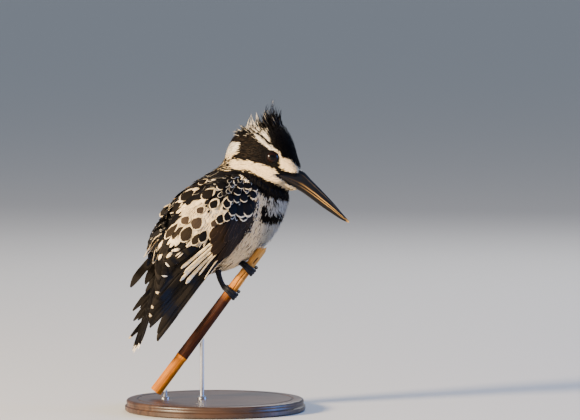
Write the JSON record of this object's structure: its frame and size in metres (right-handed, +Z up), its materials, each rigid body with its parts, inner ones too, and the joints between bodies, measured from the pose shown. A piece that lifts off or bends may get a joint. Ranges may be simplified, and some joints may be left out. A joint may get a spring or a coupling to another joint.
{
  "type": "pied kingfisher on a reed",
  "caption": "Life-size perched pied kingfisher with a raised crest, gripping a leaning cut reed on a plain display stand.",
  "frame": {"origin": "centre of the stand base's underside", "axes": "+Z up, +X the way the bill points, +Y to the bird's left"},
  "size_m": [0.188, 0.152, 0.262],
  "materials": {
    "dark_feathers": "matt black and dark brown plumage with white edges and drops",
    "white_feathers": "soft white plumage",
    "horn": "glossy black horn with a tan mouth line",
    "eye": "wet, near black",
    "foot_skin": "dark scaled skin",
    "reed": "dry, split stem",
    "stand_wood": "dark satin",
    "stand_steel": "brushed"
  },
  "bodies": {
    "root": {"bill_lower": "horn", "bill_upper": "horn", "crest": "dark_feathers", "eye_left": "eye", "eye_right": "eye", "foot_left": "foot_skin", "foot_right": "foot_skin", "head": "dark_feathers", "neck": "white_feathers", "perch_reed": "reed", "stand_base": "stand_wood", "stand_rod_front": "stand_steel", "stand_rod_rear": "stand_steel", "tail": "dark_feathers", "trunk": "dark_feathers", "wing_left_coverts": "dark_feathers", "wing_left_primaries": "dark_feathers", "wing_left_secondaries": "dark_feathers", "wing_right_coverts": "dark_feathers", "wing_right_primaries": "dark_feathers", "wing_right_secondaries": "dark_feathers"}
  },
  "joints": []
}
